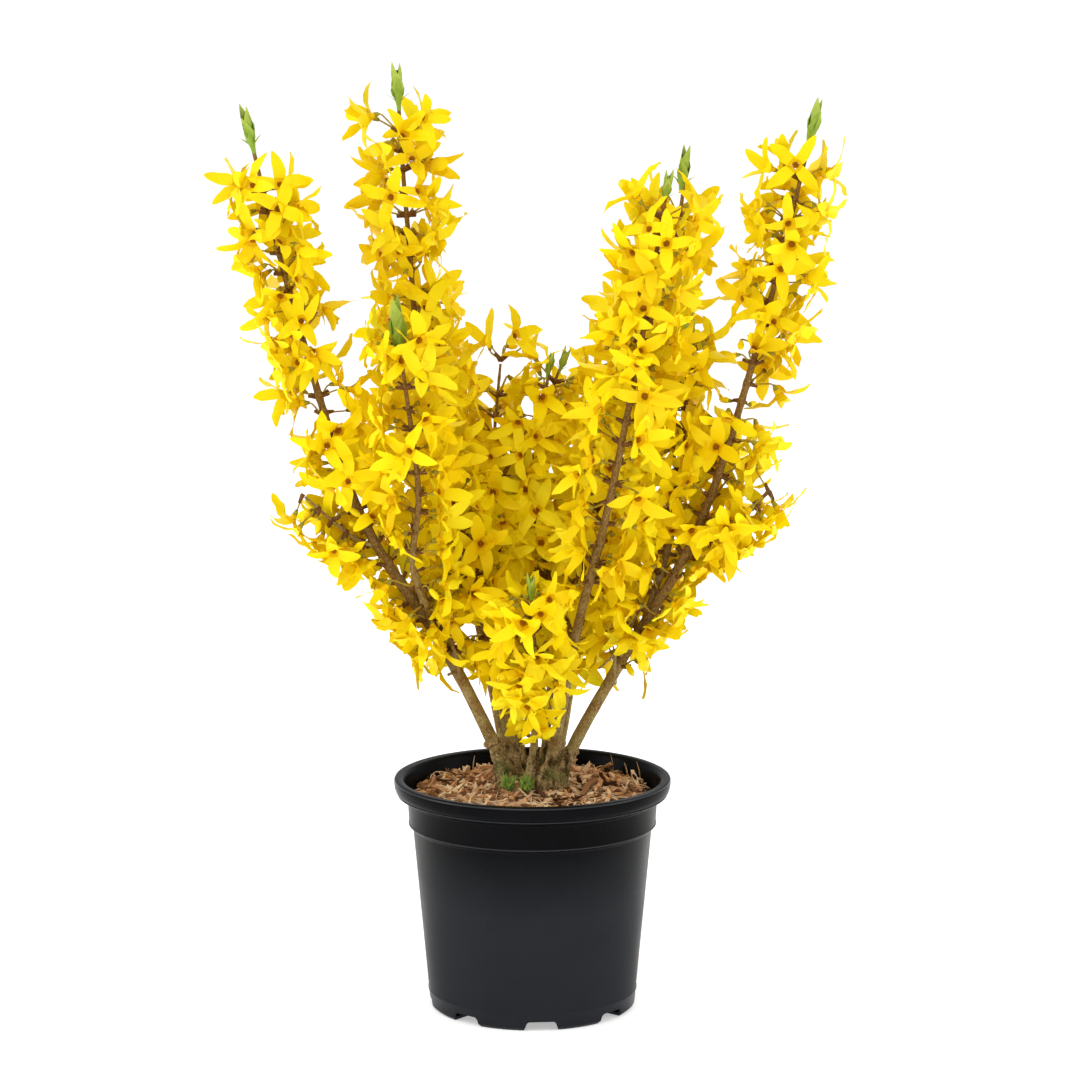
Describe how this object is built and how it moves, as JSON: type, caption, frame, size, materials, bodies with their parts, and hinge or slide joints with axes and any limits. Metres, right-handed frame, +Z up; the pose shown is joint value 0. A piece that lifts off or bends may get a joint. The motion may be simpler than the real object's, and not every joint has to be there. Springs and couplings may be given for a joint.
{
  "type": "forsythia shrub in a nursery pot",
  "caption": "Young forsythia in full yellow flower: upright leafless canes with star-shaped flowers and green tip shoots, rising from a woody crown in a black nursery pot of bark mulch.",
  "frame": {"origin": "centre of the pot's flat underside, on the pot's axis, at ground level", "axes": "+Z up along the pot's axis; -Y towards the side the shrub is seen from; +X to the right from there"},
  "size_m": [0.4143, 0.257, 0.646],
  "materials": {
    "pot": "satin",
    "mulch": "rough",
    "bark": "rough",
    "blossom": "matte"
  },
  "bodies": {
    "root": {"pot": "pot", "soil": "mulch", "crown": "bark", "bough_left_outer": "bark", "bough_right_outer": "bark", "bough_left_tall": "bark", "bough_right_tall": "bark", "bough_right_front": "bark", "bough_centre": "bark", "bough_centre_left": "bark", "bough_centre_right": "bark", "bough_front_low": "bark", "bough_back_left": "bark", "bough_back_right": "bark", "bough_back_low": "bark", "bloom_left_outer": "blossom", "bloom_right_outer": "blossom", "bloom_left_tall": "blossom", "bloom_right_tall": "blossom", "bloom_right_front": "blossom", "bloom_centre": "blossom", "bloom_front_low": "blossom", "bloom_back_left": "blossom", "bloom_back_right": "blossom", "bloom_back_low": "blossom"}
  },
  "joints": []
}
